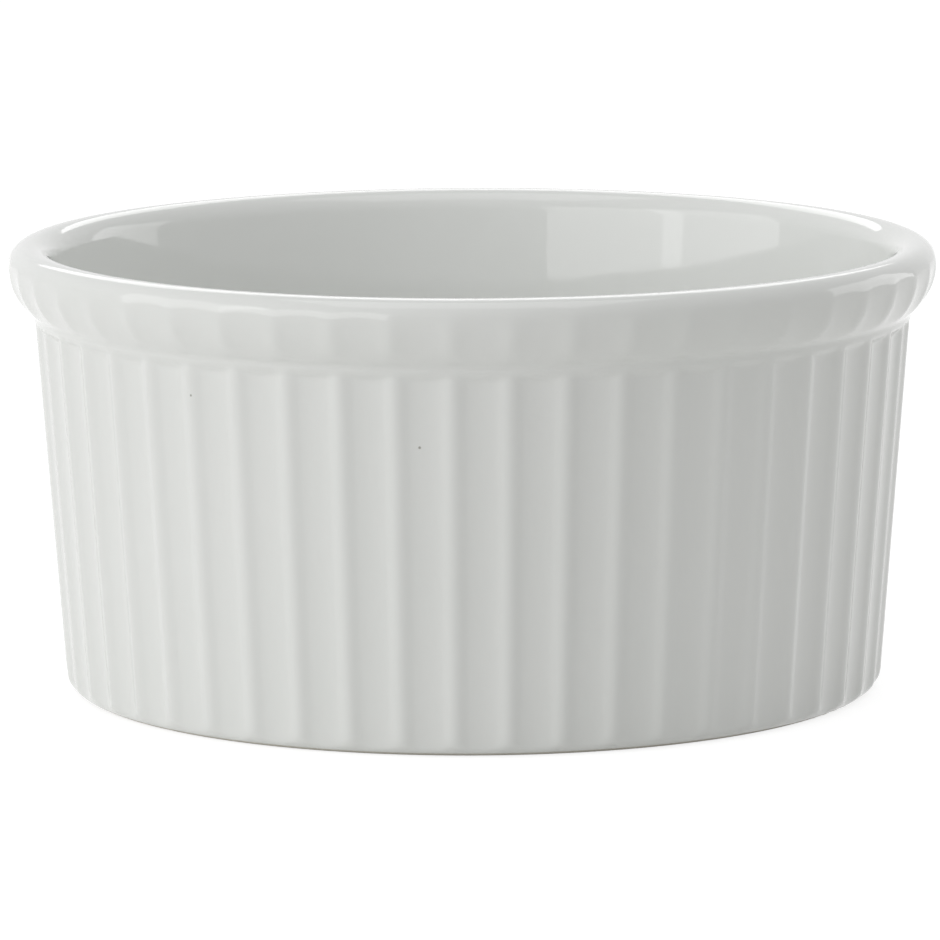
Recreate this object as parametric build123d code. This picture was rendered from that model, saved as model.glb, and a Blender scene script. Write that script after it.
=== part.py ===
from build123d import *
import os
from math import atan2, cos, degrees, radians, sin, tan

# A fluted porcelain ramekin. Millimetres, +Z up, origin on the table under the middle of the dish.
# The fired body is one piece. Its glaze is modelled as a coat of even thickness over everything but
# the foot, so it is two pieces: the main coat, and the disc of glaze inside the foot ring.

# The dish, measured over its glaze
rim_radius = 50.0
height = 48.3
glaze_thickness = 0.3

# Outer wall, along the tips of the ridges between its flutes
wall_foot_radius = 44.1
crease_radius = 47.25
crease_height = 41.1

# Flutes of the wall
flute_count = 50
flute_depth = 0.6
ridge_round = 1.0
neck_height = 0.7
neck_stand = 0.1
run_out_angle = 45.0

# Collar under the lip, and its shallow flutes
lip_outer_round = 2.1
collar_flute_depth = 0.4
collar_flute_start = 6.0
collar_ridge_width = 0.7

# Inside
rim_thickness = 4.6
inner_draft = 6.3
inner_corner_round = 8.0
floor_thickness = 3.8

# Foot ring and the recess inside it
base_corner_round = 2.5
foot_width = 2.6
foot_inner_round = 0.6
recess_depth = 1.3
recess_round = 1.0
bare_foot_height = 0.45

# Every cut runs past its surface by this much
overrun = 1.0

# Derived sizes
pitch_angle = 360 / flute_count
half_pitch = radians(pitch_angle / 2)
wall_lean = atan2(crease_radius - wall_foot_radius, crease_height)
widest_height = height - lip_outer_round
collar_overhang = rim_radius - crease_radius - neck_stand
collar_drop = widest_height - crease_height
collar_arc = (collar_drop**2 + collar_overhang**2) / (2 * collar_overhang)
neck_low = crease_height - neck_height
floor_height = recess_depth + floor_thickness


def ridge_radius(z):
    """Radius of the ridge tips at height z."""
    return wall_foot_radius + z * tan(wall_lean)


def rounded(section, corner, radius):
    """The section with the corner nearest to a point rounded."""
    vertex = section.vertices().sort_by_distance((*corner, 0))[0]
    return section.fillet_2d(radius, [vertex])


def turned(section):
    """A section in X and Z, turned into a body round the middle of the dish."""
    return revolve(Plane.XZ * section, Axis.Z)


def glazed_section():
    """Half section through the plain dish, run past the middle so that it can be offset."""
    plain_foot = ridge_radius(0) + neck_stand
    plain_crease = crease_radius + neck_stand
    foot_inner = plain_foot - base_corner_round - foot_width
    floor_middle = (-overrun, floor_height)
    floor_corner = (rim_radius - rim_thickness - (height - floor_height) * tan(radians(inner_draft)), floor_height)
    lip_corner = (rim_radius - rim_thickness, height)
    crest = (rim_radius - lip_outer_round, height)
    widest = (rim_radius, widest_height)
    crease = (plain_crease, crease_height)
    base_corner = (plain_foot, 0)
    foot_edge = (foot_inner, 0)
    recess_corner = (foot_inner - recess_depth, recess_depth)
    recess_middle = (-overrun, recess_depth)
    edges = [
        Line(floor_middle, floor_corner),
        Line(floor_corner, lip_corner),
        Line(lip_corner, crest),
        TangentArc(crest, widest, tangent=(1, 0)),
        TangentArc(widest, crease, tangent=(0, -1)),
        Line(crease, base_corner),
        Line(base_corner, foot_edge),
        Line(foot_edge, recess_corner),
        Line(recess_corner, recess_middle),
        Line(recess_middle, floor_middle),
    ]
    section = make_face(edges).face()
    section = rounded(section, floor_corner, inner_corner_round)
    section = rounded(section, lip_corner, rim_thickness - lip_outer_round)
    section = rounded(section, base_corner, base_corner_round)
    section = rounded(section, foot_edge, foot_inner_round)
    return rounded(section, recess_corner, recess_round)


def flute_outline(tip_radius, inset):
    """Closed outline of hollow flutes that flow into rounded ridges, drawn in by the inset."""
    ridge_centre = tip_radius - ridge_round
    rise = tip_radius - flute_depth - ridge_centre * cos(half_pitch)
    reach = ridge_centre * sin(half_pitch)
    hollow_round = (rise**2 + reach**2 - ridge_round**2) / (2 * (ridge_round - rise))
    hollow_centre = tip_radius - flute_depth + hollow_round
    flank = atan2(reach, rise + hollow_round)
    hollow = hollow_round + inset
    ridge = ridge_round - inset
    low = Vector(hollow_centre - hollow * cos(flank), -hollow * sin(flank))
    high = Vector(low.X, -low.Y)
    middle = Vector(hollow_centre - hollow, 0)
    tip = Vector(ridge_centre + ridge, 0).rotate(Axis.Z, pitch_angle / 2)
    hollow_edge = Edge.make_three_point_arc(low, middle, high)
    ridge_edge = Edge.make_three_point_arc(high, tip, low.rotate(Axis.Z, pitch_angle))
    turns = [pitch_angle * k for k in range(flute_count)]
    return Wire([edge.rotate(Axis.Z, turn) for turn in turns for edge in (hollow_edge, ridge_edge)])


def fluted_core(inset):
    """The fluted taper of the wall, from under the foot to above the crease."""
    low = -overrun
    high = crease_height + overrun
    outlines = [Pos(0, 0, z) * flute_outline(ridge_radius(z), inset) for z in (low, high)]
    return Solid.make_loft(outlines, ruled=True)


def flute_waste(inset):
    """What the flutes take off the plain wall, ending in a slope under the plain neck."""
    outer = crease_radius + neck_stand + overrun
    inner = ridge_radius(-overrun) - flute_depth - overrun
    neck_edge = ridge_radius(neck_low) + neck_stand - inset
    neck_rise = neck_low + inset * tan(radians(run_out_angle / 2))
    slope_foot = neck_rise - (neck_edge - inner) * tan(radians(run_out_angle))
    ring = Polyline(
        (inner, -overrun),
        (outer, -overrun),
        (outer, neck_rise),
        (neck_edge, neck_rise),
        (inner, slope_foot),
        close=True,
    )
    return turned(make_face(ring)) - fluted_core(inset)


def collar_flute(inset):
    """One hollow of the collar. It follows the collar's arc, set so that it fades below the widest line."""
    crease_pitch = 2 * crease_radius * sin(half_pitch)
    hollow_width = crease_pitch - collar_ridge_width
    hollow = hollow_width**2 / (8 * collar_flute_depth)
    middle_radius = rim_radius - collar_arc + collar_flute_depth * tan(radians(collar_flute_start))
    middle_height = widest_height + collar_flute_depth
    turn = degrees(atan2(middle_height - crease_height, crease_radius - middle_radius))
    round_face = Pos(middle_radius + collar_arc + hollow, 0, middle_height) * Circle(hollow + inset)
    middle = Axis((middle_radius, 0, middle_height), (0, 1, 0))
    return revolve(round_face, middle, turn)


def dish(section, inset):
    """The whole dish from its section, with the flutes of the wall and the collar cut."""
    cuts = [Rot(0, 0, pitch_angle * k) * collar_flute(inset) for k in range(flute_count)]
    return turned(section) - flute_waste(inset) - cuts


def right_half(section):
    """The part of a section on the outer side of the middle."""
    window = Pos(rim_radius / 2 + overrun / 2, height / 2) * Rectangle(rim_radius + overrun, 2 * height)
    return section & window


glazed = glazed_section()
bisque = offset(glazed, -glaze_thickness, kind=Kind.INTERSECTION)
glazed_dish = dish(right_half(glazed), 0)
bisque_dish = dish(right_half(bisque), glaze_thickness)

foot_slab = Pos(0, 0, bare_foot_height / 2) * Cylinder(rim_radius, bare_foot_height)
bare_foot = glazed_dish & foot_slab
porcelain_body = bisque_dish + bare_foot
coats = (glazed_dish - porcelain_body).solids().sort_by(SortBy.VOLUME)

os.makedirs("parts", exist_ok=True)
export_step(porcelain_body, "parts/porcelain_body.step")
export_step(coats[-1], "parts/glaze_coat.step")
export_step(coats[0], "parts/base_glaze.step")
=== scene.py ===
from math import asin, atan2, cos, degrees, hypot, pi, radians, sin, sqrt, tan

import bmesh
import bpy
from mathutils import Matrix, Vector


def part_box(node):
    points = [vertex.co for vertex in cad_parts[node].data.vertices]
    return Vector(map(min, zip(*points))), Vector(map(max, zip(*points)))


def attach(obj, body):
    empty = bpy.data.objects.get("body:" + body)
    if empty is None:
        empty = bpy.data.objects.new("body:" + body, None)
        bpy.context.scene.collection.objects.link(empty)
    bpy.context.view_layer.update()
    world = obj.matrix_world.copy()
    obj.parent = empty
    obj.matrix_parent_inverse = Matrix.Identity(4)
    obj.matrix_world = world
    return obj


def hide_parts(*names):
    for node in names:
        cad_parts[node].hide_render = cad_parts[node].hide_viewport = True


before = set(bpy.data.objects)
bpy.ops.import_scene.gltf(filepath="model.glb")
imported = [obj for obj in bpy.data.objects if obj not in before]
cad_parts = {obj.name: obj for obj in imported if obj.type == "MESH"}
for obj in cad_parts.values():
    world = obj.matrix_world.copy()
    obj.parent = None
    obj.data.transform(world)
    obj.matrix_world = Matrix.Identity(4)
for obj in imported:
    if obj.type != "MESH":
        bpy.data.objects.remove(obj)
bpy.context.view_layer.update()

mm = 0.001  # the dictionaries below are in millimetres and degrees
print("frame loaded:", ", ".join(sorted(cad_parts)))

# how near vertices are joined and picked, the angle up to which faces are shaded as one surface, and the
# share of its radius from which a vertex counts as unmoved
joining = {"mergeGap": 0.005, "pickGap": 0.01, "smoothAngle": 50, "unmoved": 0.999999, "shareDigits": 6}


# small helpers

def deselectAll():
    bpy.ops.object.select_all(action="DESELECT")


def selectVerts(piece, test):
    # picks vertices in edit mode by a test on their place
    mesh = bmesh.from_edit_mesh(piece.data)
    for vert in mesh.verts:
        vert.select = test(vert)
    mesh.select_flush_mode()
    bmesh.update_edit_mesh(piece.data)


def startProfile(name, radius, height):
    # one vertex to draw a section from: a small plane merged to its middle
    deselectAll()
    bpy.ops.mesh.primitive_plane_add(size=mm)
    piece = bpy.context.object
    piece.name = piece.data.name = name
    bpy.ops.object.mode_set(mode="EDIT")
    bpy.context.tool_settings.mesh_select_mode = (True, False, False)
    bpy.ops.mesh.select_all(action="SELECT")
    bpy.ops.mesh.merge(type="CENTER")
    bpy.ops.transform.translate(value=(radius * mm, 0, height * mm))
    return piece


def drawSection(points):
    # carries the selected vertex along the section, one extrusion a point
    for (fromRadius, fromHeight), (radius, height) in zip(points, points[1:]):
        step = ((radius - fromRadius) * mm, 0, (height - fromHeight) * mm)
        bpy.ops.mesh.extrude_vertices_move(TRANSFORM_OT_translate={"value": step})


def arcPoints(centre, radius, fromAngle, toAngle, steps):
    # points along an arc of the section, its start left out
    turns = [radians(fromAngle + (toAngle - fromAngle) * k / steps) for k in range(1, steps + 1)]
    return [(centre[0] + radius * cos(t), centre[1] + radius * sin(t)) for t in turns]


def sweepColumns(turns):
    # turns the selected section into columns of faces, at these angles round the dish
    middle = (0, 0, 0)
    bpy.ops.mesh.select_all(action="SELECT")
    bpy.ops.transform.rotate(value=radians(turns[0]), orient_axis="Z", center_override=middle)
    for last, turn in zip(turns, turns[1:]):
        bpy.ops.mesh.extrude_region()
        bpy.ops.transform.rotate(value=radians(turn - last), orient_axis="Z", center_override=middle)


def copyRound(count):
    # copies the wedge all the way round and joins the copies
    bpy.ops.mesh.select_all(action="SELECT")
    bpy.ops.mesh.spin(steps=count - 1, dupli=True, angle=2 * pi * (count - 1) / count,
                      center=(0, 0, 0), axis=(0, 0, 1))
    bpy.ops.mesh.select_all(action="SELECT")
    bpy.ops.mesh.remove_doubles(threshold=joining["mergeGap"] * mm)


def closeMiddle(piece, radius):
    # one flat face over the open middle, inside this radius
    reach = (radius + joining["pickGap"]) * mm
    selectVerts(piece, lambda vert: hypot(vert.co.x, vert.co.y) < reach)
    bpy.ops.mesh.edge_face_add()


def thicken(piece, thickness, showsBelow=False):
    # gives the coat its thickness, inwards from the surface that shows
    bpy.ops.mesh.select_all(action="SELECT")
    bpy.ops.mesh.normals_make_consistent(inside=False)
    if showsBelow:
        largest = max(bmesh.from_edit_mesh(piece.data).faces, key=lambda face: face.calc_area())
        if largest.normal.z > 0:
            bpy.ops.mesh.flip_normals()
    bpy.ops.object.mode_set(mode="OBJECT")
    coat = piece.modifiers.new("coat", "SOLIDIFY")
    coat.thickness = thickness * mm
    coat.offset = -1
    coat.use_even_offset = True
    bpy.ops.object.modifier_apply(modifier="coat")
    bpy.ops.object.shade_smooth_by_angle(angle=radians(joining["smoothAngle"]))


# the main coat of glaze, from the bare foot up the fluted wall, over the lip and down inside

dish = {
    "rimRadius": 50.0, "height": 48.3, "bareFoot": 0.45, "glazeThickness": 0.28,
    "wallFootRadius": 44.1, "creaseRadius": 47.25, "creaseHeight": 41.1, "neckStand": 0.1, "neckLow": 40.4,
    "baseRound": 2.5, "creaseRound": 1.3, "lipOuterRound": 2.1,
    "rimThickness": 4.6, "innerDraft": 6.3, "innerRound": 8.0, "floorHeight": 5.1, "floorInset": 0.5,
    # rings up the outer wall, closest where the flutes run out, and shares of the way down the inner wall
    "wallRings": (3.1, 4.2, 6, 13, 21, 29, 36.5, 38.6, 39.2, 39.5, 39.8, 40.1), "innerRings": (0.33, 0.67),
    # steps of each round
    "baseSteps": 7, "creaseSteps": 6, "collarSteps": 12, "lipSteps": 8, "innerLipSteps": 9, "floorSteps": 9,
    # the leaning line between the inner and the outer wall: its radius at the foot, and its slope
    "partRadius": 42, "partSlope": 0.09,
}

flutes = {
    "count": 50, "depth": 0.52, "ridgeShare": 0.52, "ridgeWidth": 0.54, "softness": 0.22,
    "collarDepth": 0.24, "collarStart": -10.0,
    "columns": (0, 0.26, 0.46, 0.6, 0.74, 0.87, 1),  # shares of half a pitch, from the middle of a hollow
}

halfPitch = 180 / flutes["count"]
wallSlope = (dish["creaseRadius"] - dish["wallFootRadius"]) / dish["creaseHeight"]
wallLean = degrees(atan2(wallSlope, 1))
widestHeight = dish["height"] - dish["lipOuterRound"]
collarDrop = widestHeight - dish["creaseHeight"]
collarOverhang = dish["rimRadius"] - dish["creaseRadius"] - dish["neckStand"]
collarArc = (collarDrop**2 + collarOverhang**2) / (2 * collarOverhang)
collarMiddle = (dish["rimRadius"] - collarArc, widestHeight)


def plainWall(height):
    return dish["wallFootRadius"] + dish["neckStand"] + height * wallSlope


def softLeast(a, b, softness):
    # the smaller of two radii, with the corner between them rounded as the glaze rounds it
    mix = min(max(0.5 + 0.5 * (b - a) / softness, 0), 1)
    return b + (a - b) * mix - softness * mix * (1 - mix)


def fillCrease():
    # the glaze that fills the crease under the collar: middle of its round, and where the round meets the collar
    slant = cos(radians(wallLean))
    foot = plainWall(0) + dish["creaseRound"] / slant - collarMiddle[0]
    reach = collarArc + dish["creaseRound"]
    a, b, c = 1 + wallSlope**2, foot * wallSlope - widestHeight, foot**2 + widestHeight**2 - reach**2
    height = (-b - sqrt(b**2 - a * c)) / a
    middle = (collarMiddle[0] + foot + wallSlope * height, height)
    return middle, degrees(atan2(height - widestHeight, middle[0] - collarMiddle[0]))


creaseMiddle, collarTurn = fillCrease()
creaseFoot = creaseMiddle[1] + dish["creaseRound"] * sin(radians(wallLean))
creaseTop = widestHeight + collarArc * sin(radians(collarTurn))


def dishSection():
    # the section's points, from the bare foot round to the middle of the floor
    baseRound, creaseRound, innerRound = dish["baseRound"], dish["creaseRound"], dish["innerRound"]
    baseMiddle = (plainWall(baseRound) - baseRound / cos(radians(wallLean)), baseRound)
    footTurn = degrees(asin((dish["bareFoot"] - baseRound) / baseRound))
    points = [(baseMiddle[0] + baseRound * cos(radians(footTurn)), dish["bareFoot"])]
    points += arcPoints(baseMiddle, baseRound, footTurn, -wallLean, dish["baseSteps"])

    for height in dish["wallRings"]:
        points.append((plainWall(height), height))
    points.append((plainWall(creaseFoot), creaseFoot))
    points += arcPoints(creaseMiddle, creaseRound, 180 - wallLean, 180 + collarTurn, dish["creaseSteps"])

    # the collar, the lip and the inner wall
    points += arcPoints(collarMiddle, collarArc, collarTurn, 0, dish["collarSteps"])
    lipRound = dish["lipOuterRound"]
    points += arcPoints((dish["rimRadius"] - lipRound, widestHeight), lipRound, 0, 90, dish["lipSteps"])
    innerTop = dish["rimRadius"] - dish["rimThickness"]
    innerLip = dish["rimThickness"] - lipRound
    draft = radians(dish["innerDraft"])
    lipMiddle = (innerTop + innerLip * tan((pi / 2 - draft) / 2), dish["height"] - innerLip)
    points.append((lipMiddle[0], dish["height"]))
    points += arcPoints(lipMiddle, innerLip, 90, 180 - dish["innerDraft"], dish["innerLipSteps"])

    # down the inner wall and round into the floor
    roundHeight = dish["floorHeight"] + innerRound
    roundRadius = innerTop - (dish["height"] - roundHeight) * tan(draft) - innerRound / cos(draft)
    roundTop = (roundRadius + innerRound * cos(draft), roundHeight - innerRound * sin(draft))
    lip = points[-1]
    for share in dish["innerRings"]:
        points.append((lip[0] + (roundTop[0] - lip[0]) * share, lip[1] + (roundTop[1] - lip[1]) * share))
    points.append(roundTop)
    points += arcPoints((roundRadius, roundHeight), innerRound, -dish["innerDraft"], -90, dish["floorSteps"])
    points.append((roundRadius - dish["floorInset"], dish["floorHeight"]))
    return points


def hollowShare(turn):
    # how much of its depth a flute has at this angle from its middle: a broad hollow, and a narrow soft ridge
    away = 1 - turn / halfPitch
    ridge = cos(pi / 2 * min(1, away / flutes["ridgeWidth"]))**2
    return flutes["ridgeShare"] * (1 - ridge) + (1 - flutes["ridgeShare"]) * sin(pi / 2 * away)**2


def pressedRadius(radius, height, turn):
    # where the surface lies once the flutes are pressed in. Inside the dish it stays as it is
    outside = radius > dish["partRadius"] + dish["partSlope"] * height
    if outside and height < dish["neckLow"]:
        slope = plainWall(dish["neckLow"]) - (dish["neckLow"] - height)
        fluted = dish["wallFootRadius"] + height * wallSlope - flutes["depth"] * hollowShare(turn)
        hollow = -softLeast(-fluted, -slope, flutes["softness"])
        return softLeast(radius, hollow, flutes["softness"])
    down = degrees(atan2(widestHeight - height, radius - collarMiddle[0]))
    if outside and creaseTop < height and flutes["collarStart"] < down < -collarTurn:
        along = (down - flutes["collarStart"]) / (-collarTurn - flutes["collarStart"])
        return radius - flutes["collarDepth"] * hollowShare(turn) * sin(pi * along) / cos(radians(down))
    return radius


def pressFlutes(piece):
    # draws the hollows in, ring by ring, by scaling matching vertices towards the middle of the dish
    groups = {}
    for vert in bmesh.from_edit_mesh(piece.data).verts:
        radius = hypot(vert.co.x, vert.co.y) / mm
        turn = abs(degrees(atan2(vert.co.y, vert.co.x)))
        share = pressedRadius(radius, vert.co.z / mm, turn) / radius
        if share < joining["unmoved"]:
            groups.setdefault(round(share, joining["shareDigits"]), set()).add(vert.index)
    for share, numbers in groups.items():
        selectVerts(piece, lambda vert: vert.index in numbers)
        bpy.ops.transform.resize(value=(share, share, 1), center_override=(0, 0, 0))


section = dishSection()
glazeCoat = startProfile("glazeCoat", *section[0])
drawSection(section)
columnTurns = [share * halfPitch for share in flutes["columns"]]
sweepColumns([-turn for turn in reversed(columnTurns)] + columnTurns[1:])
pressFlutes(glazeCoat)
copyRound(flutes["count"])
closeMiddle(glazeCoat, section[-1][0])
thicken(glazeCoat, dish["glazeThickness"])
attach(glazeCoat, "root")
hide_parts("glaze_coat")
print("glaze coat:", len(glazeCoat.data.polygons), "faces")


# the disc of glaze under the dish, inside the foot ring

footRecess = {
    "edgeRadius": 39.1, "depth": 1.3, "slope": 45, "round": 1.0, "roundSteps": 5, "middleInset": 0.5,
    "glazeThickness": 0.28, "columns": 96,
}

flatEdge = footRecess["edgeRadius"] - footRecess["depth"]
flatEdge -= footRecess["round"] * tan(radians(footRecess["slope"] / 2))
roundMiddle = (flatEdge, footRecess["depth"] - footRecess["round"])
slopeTop = (roundMiddle[0] + footRecess["round"] * cos(radians(footRecess["slope"])),
            roundMiddle[1] + footRecess["round"] * sin(radians(footRecess["slope"])))
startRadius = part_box("base_glaze")[1][0] / mm
recess = [(startRadius, dish["bareFoot"]), slopeTop]
recess += arcPoints(roundMiddle, footRecess["round"], footRecess["slope"], 90, footRecess["roundSteps"])
recess.append((flatEdge - footRecess["middleInset"], footRecess["depth"]))

deselectAll()
bpy.ops.mesh.primitive_circle_add(vertices=footRecess["columns"], radius=startRadius * mm,
                                  fill_type="NOTHING", location=(0, 0, 0))
baseGlaze = bpy.context.object
baseGlaze.name = baseGlaze.data.name = "baseGlaze"
bpy.ops.object.mode_set(mode="EDIT")
bpy.ops.mesh.select_all(action="SELECT")
bpy.ops.transform.translate(value=(0, 0, dish["bareFoot"] * mm))
for (fromRadius, fromHeight), (radius, height) in zip(recess, recess[1:]):
    bpy.ops.mesh.extrude_region()
    bpy.ops.transform.resize(value=(radius / fromRadius, radius / fromRadius, 1), center_override=(0, 0, 0))
    bpy.ops.transform.translate(value=(0, 0, (height - fromHeight) * mm))
closeMiddle(baseGlaze, recess[-1][0])
thicken(baseGlaze, footRecess["glazeThickness"], showsBelow=True)
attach(baseGlaze, "root")
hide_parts("base_glaze")
print("base glaze:", len(baseGlaze.data.polygons), "faces")


# materials

colourA, colourB, colourOut = 6, 7, 2  # the colour sockets of a Mix node


def linear(hexColour):
    # an sRGB hex colour as the linear colour that a shader takes
    parts = [int(hexColour[k:k + 2], 16) / 255 for k in (1, 3, 5)]
    return tuple(c / 12.92 if c <= 0.04045 else ((c + 0.055) / 1.055) ** 2.4 for c in parts) + (1,)


def addNode(tree, kind, inputs=None, **settings):
    # adds a node with its settings, and links or sets its inputs
    node = tree.nodes.new(kind)
    for name, value in settings.items():
        setattr(node, name, value)
    for name, value in (inputs or {}).items():
        if isinstance(value, bpy.types.NodeSocket):
            tree.links.new(value, node.inputs[name])
        else:
            node.inputs[name].default_value = value
    return node


def newMaterial(name):
    material = bpy.data.materials.new(name)
    material.use_nodes = True
    material.node_tree.nodes.clear()
    return material, material.node_tree


def giveMaterial(piece, material):
    piece.data.materials.clear()
    piece.data.materials.append(material)


glaze = {
    "colour": "#ECEEEB", "thinColour": "#F0F1EF", "speck": "#A9A79F",
    # waves, ripples and pinholes at their real size
    "cloudSize": 26.0, "waveSize": 9.0, "waveHeight": 0.02, "peelSize": 1.3, "peelHeight": 0.0012,
    "speckSpacing": 14.0, "speckSize": 0.16, "speckEdge": (0.5, 1.2),
    "bodyRoughness": 0.5, "glossRoughness": 0.05, "glossIor": 1.5,
}


def glazedPorcelain():
    # Clear glaze fired on white porcelain: a dead white body that shades softly, under a hard, colourless,
    # mirror-smooth gloss with slow waves where the glaze ran, and here and there a pinhole
    material, tree = newMaterial("glazedPorcelain")
    place = addNode(tree, "ShaderNodeTexCoord").outputs["Object"]
    cloud = addNode(tree, "ShaderNodeTexNoise", {
        "Vector": place, "Scale": 1 / (glaze["cloudSize"] * mm), "Detail": 2.0})
    shade = addNode(tree, "ShaderNodeMix", {
        "Factor": cloud.outputs["Fac"], colourA: linear(glaze["colour"]), colourB: linear(glaze["thinColour"]),
    }, data_type="RGBA")

    # specks: a dot at the middle of some of the cells of a Voronoi pattern
    cells = addNode(tree, "ShaderNodeTexVoronoi", {"Vector": place, "Scale": 1 / (glaze["speckSpacing"] * mm)})
    size = glaze["speckSize"] / glaze["speckSpacing"]
    core, rim = (size * edge for edge in glaze["speckEdge"])
    dot = addNode(tree, "ShaderNodeMapRange", {
        "Value": cells.outputs["Distance"], "From Min": core, "From Max": rim, "To Min": 1.0, "To Max": 0.0})
    specked = addNode(tree, "ShaderNodeMix", {
        "Factor": dot.outputs["Result"], colourA: shade.outputs[colourOut], colourB: linear(glaze["speck"]),
    }, data_type="RGBA")

    # slow waves under the whole surface, and a fine ripple in the gloss alone
    wave = addNode(tree, "ShaderNodeTexNoise", {
        "Vector": place, "Scale": 1 / (glaze["waveSize"] * mm), "Detail": 1.0})
    waveBump = addNode(tree, "ShaderNodeBump", {
        "Height": wave.outputs["Fac"], "Strength": 1.0, "Distance": glaze["waveHeight"] * mm})
    peel = addNode(tree, "ShaderNodeTexNoise", {
        "Vector": place, "Scale": 1 / (glaze["peelSize"] * mm), "Detail": 2.0})
    peelBump = addNode(tree, "ShaderNodeBump", {
        "Height": peel.outputs["Fac"], "Strength": 1.0, "Distance": glaze["peelHeight"] * mm,
        "Normal": waveBump.outputs["Normal"]})
    shader = addNode(tree, "ShaderNodeBsdfPrincipled", {
        "Base Color": specked.outputs[colourOut], "Roughness": glaze["bodyRoughness"], "Specular IOR Level": 0.0,
        "Coat Weight": 1.0, "Coat Roughness": glaze["glossRoughness"], "Coat IOR": glaze["glossIor"],
        "Normal": waveBump.outputs["Normal"], "Coat Normal": peelBump.outputs["Normal"]})
    addNode(tree, "ShaderNodeOutputMaterial", {"Surface": shader.outputs["BSDF"]})
    return material


bisque = {
    "colour": "#E6E3DA", "dark": "#D8D4C9", "patchSize": 8.0, "roughness": 0.75, "shine": 0.35,
    # the grain is drawn coarser than the real one, which is under 0.1 mm, so that it shows
    "grainSize": 0.35, "grainHeight": 0.012,
}


def barePorcelain():
    # Fired porcelain left unglazed and polished on the foot: slightly warm, matt, and gritty close up
    material, tree = newMaterial("barePorcelain")
    place = addNode(tree, "ShaderNodeTexCoord").outputs["Object"]
    patch = addNode(tree, "ShaderNodeTexNoise", {
        "Vector": place, "Scale": 1 / (bisque["patchSize"] * mm), "Detail": 4.0})
    shade = addNode(tree, "ShaderNodeMix", {
        "Factor": patch.outputs["Fac"], colourA: linear(bisque["colour"]), colourB: linear(bisque["dark"]),
    }, data_type="RGBA")
    grain = addNode(tree, "ShaderNodeTexNoise", {
        "Vector": place, "Scale": 1 / (bisque["grainSize"] * mm), "Detail": 3.0})
    bump = addNode(tree, "ShaderNodeBump", {
        "Height": grain.outputs["Fac"], "Strength": 1.0, "Distance": bisque["grainHeight"] * mm})
    shader = addNode(tree, "ShaderNodeBsdfPrincipled", {
        "Base Color": shade.outputs[colourOut], "Roughness": bisque["roughness"],
        "Specular IOR Level": bisque["shine"], "Normal": bump.outputs["Normal"]})
    addNode(tree, "ShaderNodeOutputMaterial", {"Surface": shader.outputs["BSDF"]})
    return material


glazedMaterial = glazedPorcelain()
for piece in (glazeCoat, baseGlaze):
    giveMaterial(piece, glazedMaterial)
giveMaterial(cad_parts["porcelain_body"], barePorcelain())
print("materials given")


# floor, world and lamps

studio = {
    "floorSize": 4000.0, "floorColour": "#E9E9E7", "backgroundColour": "#FFFFFF",
    # the floor where it is seen: how much light it throws back, and how much it is lifted. Then the room's light
    "floorTone": 0.36, "floorShown": 0.82, "ambient": 0.38,
}


def whiteWhereSeen(tree):
    # 1 for rays that should find the plain white background: the camera's, and those through gloss or glass
    path = addNode(tree, "ShaderNodeLightPath")
    first = addNode(tree, "ShaderNodeMath", operation="ADD", use_clamp=True)
    tree.links.new(path.outputs["Is Camera Ray"], first.inputs[0])
    tree.links.new(path.outputs["Is Glossy Ray"], first.inputs[1])
    both = addNode(tree, "ShaderNodeMath", operation="ADD", use_clamp=True)
    tree.links.new(first.outputs[0], both.inputs[0])
    tree.links.new(path.outputs["Is Transmission Ray"], both.inputs[1])
    return both.outputs[0]


def paleFloor():
    # a pale matt sheet that still shows the soft shadow at the foot, lifted to white where it is seen
    material, tree = newMaterial("paleFloor")
    sheet = addNode(tree, "ShaderNodeBsdfDiffuse", {"Color": linear(studio["floorColour"])})
    seen = addNode(tree, "ShaderNodeBsdfDiffuse", {"Color": (studio["floorTone"],) * 3 + (1,)})
    lift = addNode(tree, "ShaderNodeEmission", {"Color": backgroundColour, "Strength": studio["floorShown"]})
    lifted = addNode(tree, "ShaderNodeAddShader")
    tree.links.new(seen.outputs[0], lifted.inputs[0])
    tree.links.new(lift.outputs[0], lifted.inputs[1])
    mix = addNode(tree, "ShaderNodeMixShader", {0: whiteWhereSeen(tree)})
    tree.links.new(sheet.outputs[0], mix.inputs[1])
    tree.links.new(lifted.outputs[0], mix.inputs[2])
    addNode(tree, "ShaderNodeOutputMaterial", {"Surface": mix.outputs[0]})
    return material


backgroundColour = linear(studio["backgroundColour"])
deselectAll()
bpy.ops.mesh.primitive_plane_add(size=studio["floorSize"] * mm, location=(0, 0, 0))
floor = bpy.context.object
floor.name = floor.data.name = "floor"
giveMaterial(floor, paleFloor())

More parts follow.
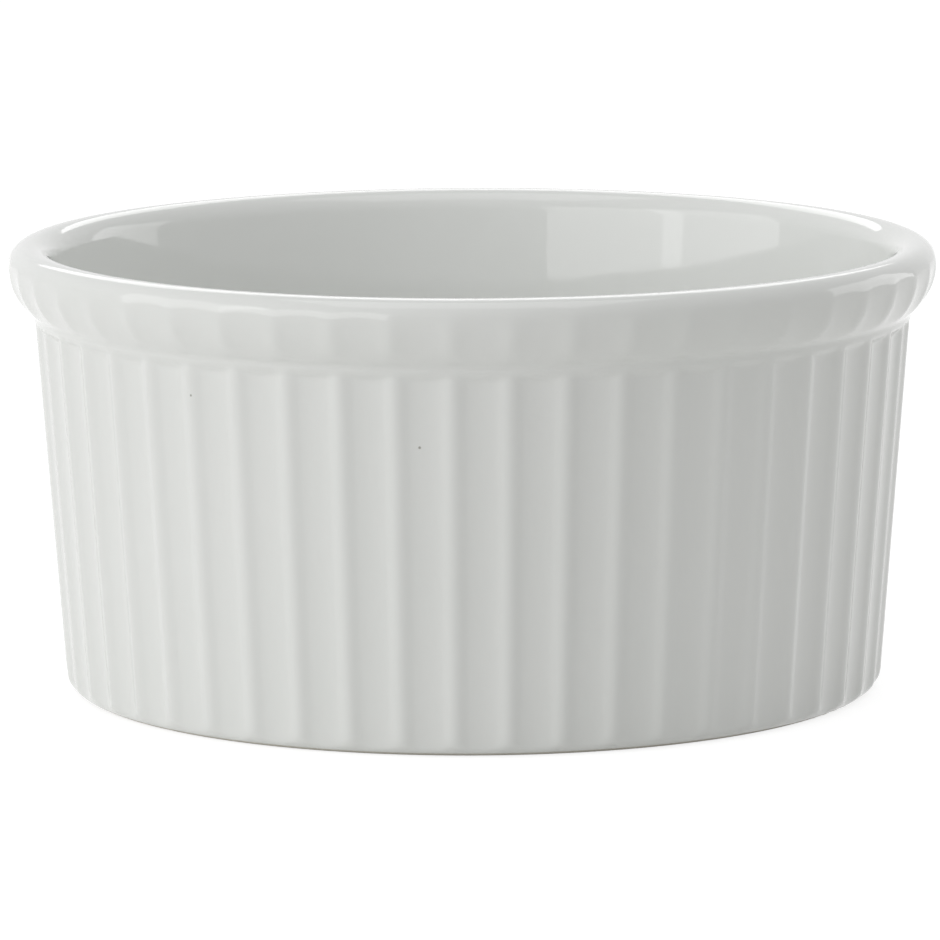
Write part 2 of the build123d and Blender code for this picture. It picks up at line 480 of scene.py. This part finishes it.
world = bpy.data.worlds.new("studioWorld")
world.use_nodes = True
world.node_tree.nodes.clear()
bpy.context.scene.world = world
room = addNode(world.node_tree, "ShaderNodeBackground", {"Color": backgroundColour, "Strength": studio["ambient"]})
white = addNode(world.node_tree, "ShaderNodeBackground", {"Color": backgroundColour, "Strength": 1.0})
mix = addNode(world.node_tree, "ShaderNodeMixShader", {0: whiteWhereSeen(world.node_tree)})
world.node_tree.links.new(room.outputs[0], mix.inputs[1])
world.node_tree.links.new(white.outputs[0], mix.inputs[2])
addNode(world.node_tree, "ShaderNodeOutputWorld", {"Surface": mix.outputs[0]})

lamps = {
    # name: place, aim, width, height (mm), watts
    "softboxLeft": ((-1120, -300, 330), (0, 0, 25), 900, 900, 3.4),
    "softboxLeftFront": ((-760, -905, 208), (0, 0, 25), 900, 900, 3.8),
    "softboxRightBack": ((1020, 590, 260), (0, 0, 25), 700, 700, 1.9),
    "softboxTop": ((0, -42, 1199), (0, 0, 25), 900, 900, 2.6),
    "softboxBack": ((-100, 950, 640), (0, 0, 25), 700, 500, 1.6),
}
for name, (place, aim, width, height, watts) in lamps.items():
    bpy.ops.object.light_add(type="AREA", location=Vector(place) * mm)
    lamp = bpy.context.object
    lamp.name = lamp.data.name = name
    lamp.data.shape = "RECTANGLE"
    lamp.data.size, lamp.data.size_y = width * mm, height * mm
    lamp.data.energy = watts
    lamp.rotation_euler = (Vector(aim) - Vector(place)).to_track_quat("-Z", "Y").to_euler()
print("studio lit by", len(lamps), "lamps")


# camera, at the photograph's angle

view = {
    "distance": 800.0, "lens": 282.87, "sensor": 36, "pitch": 8.92, "roll": 0.23, "azimuth": -87.5,
    "side": -0.32, "aimHeight": 23.21,
}

pitch, azimuth, roll = (radians(view[name]) for name in ("pitch", "azimuth", "roll"))
back = Vector((cos(azimuth) * cos(pitch), sin(azimuth) * cos(pitch), sin(pitch)))
right = Vector((-sin(azimuth), cos(azimuth), 0))
up = back.cross(right)
turnedRight = right * cos(roll) - up * sin(roll)
turnedUp = up * cos(roll) + right * sin(roll)
eye = (Vector((0, 0, view["aimHeight"])) + right * view["side"] + back * view["distance"]) * mm
bpy.ops.object.camera_add(location=eye)
camera = bpy.context.object
camera.name = camera.data.name = "camera"
camera.matrix_world = Matrix.Translation(eye) @ Matrix((turnedRight, turnedUp, back)).transposed().to_4x4()
camera.data.sensor_width = view["sensor"]
camera.data.lens = view["lens"]
bpy.context.scene.camera = camera
bpy.context.scene.view_settings.view_transform = "Standard"
